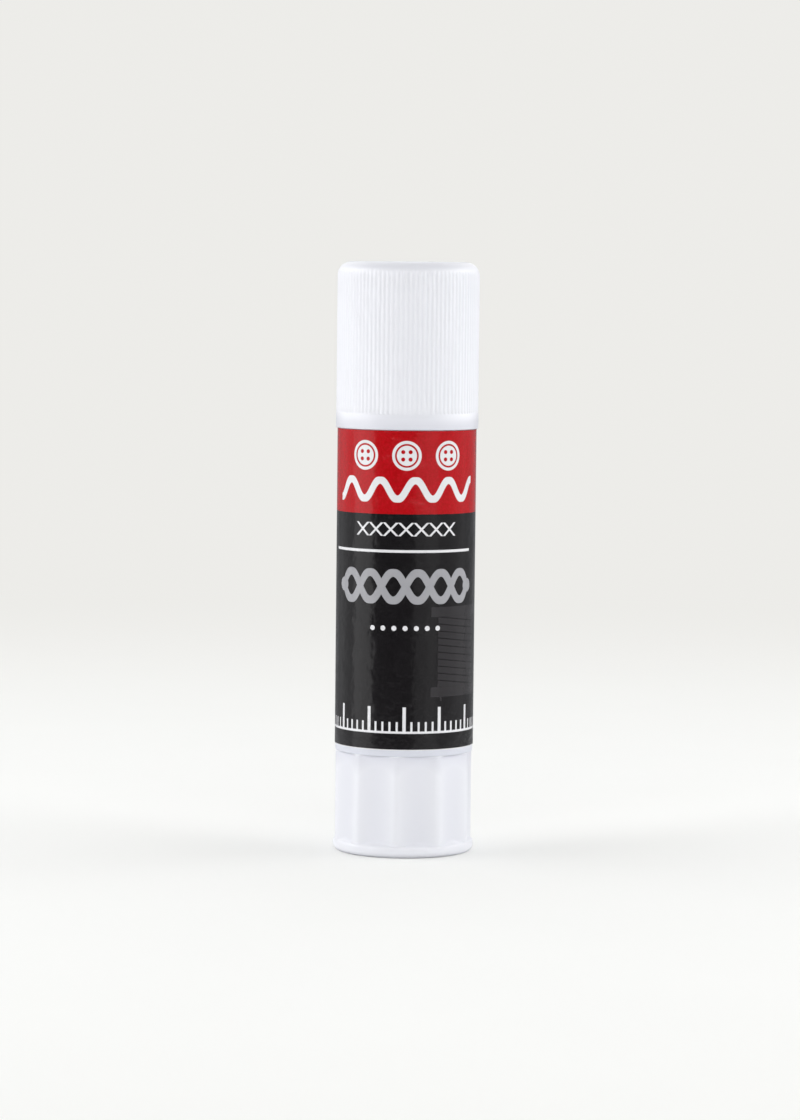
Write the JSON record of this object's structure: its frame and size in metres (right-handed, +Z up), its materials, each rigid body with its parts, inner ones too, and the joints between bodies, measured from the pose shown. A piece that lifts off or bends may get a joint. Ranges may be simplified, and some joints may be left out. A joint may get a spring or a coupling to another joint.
{
  "type": "glue stick",
  "caption": "Twist-up glue stick: ribbed push-on cap, keyed barrel with a wrapped label, fluted turning knob on a lead screw, and a threaded carrier that lifts the glue.",
  "frame": {"origin": "centre of the foot ring under the knob, on the surface that the stick stands on", "axes": "+Z up the stick's axis towards the cap, -Y towards the front of the label, +X to its right"},
  "size_m": [0.0204, 0.0204, 0.0845],
  "materials": {
    "cap_plastic": "moulded, satin gloss",
    "barrel_plastic": "moulded, satin gloss",
    "label_film": "printed, glossy",
    "knob_plastic": "moulded, satin gloss",
    "screw_plastic": "moulded, plain",
    "carrier_plastic": "moulded, plain",
    "glue": "waxy, slightly translucent"
  },
  "bodies": {
    "barrel": {"barrel": "barrel_plastic", "label": "label_film"},
    "knob": {"base_knob": "knob_plastic", "lead_screw": "screw_plastic"},
    "carrier": {"carrier": "carrier_plastic", "glue": "glue"},
    "cap": {"cap": "cap_plastic"}
  },
  "joints": [
    {"name": "knob_turn", "type": "hinge", "parent": "barrel", "child": "knob", "pos_m": [0, 0, 0], "axis": [0, 0, 1], "range_deg": [0, 4145]},
    {"name": "carrier_lift", "type": "slide", "parent": "barrel", "child": "carrier", "axis": [0, 0, 1], "range_m": [0, 0.046]},
    {"name": "cap_pull", "type": "slide", "parent": "carrier", "child": "cap", "axis": [0, 0, 1], "range_m": [0, 0.04]}
  ],
  "couplings": [
    {"joint": "knob_turn", "follows": "carrier_lift", "rad_per_m": 1570.8}
  ]
}
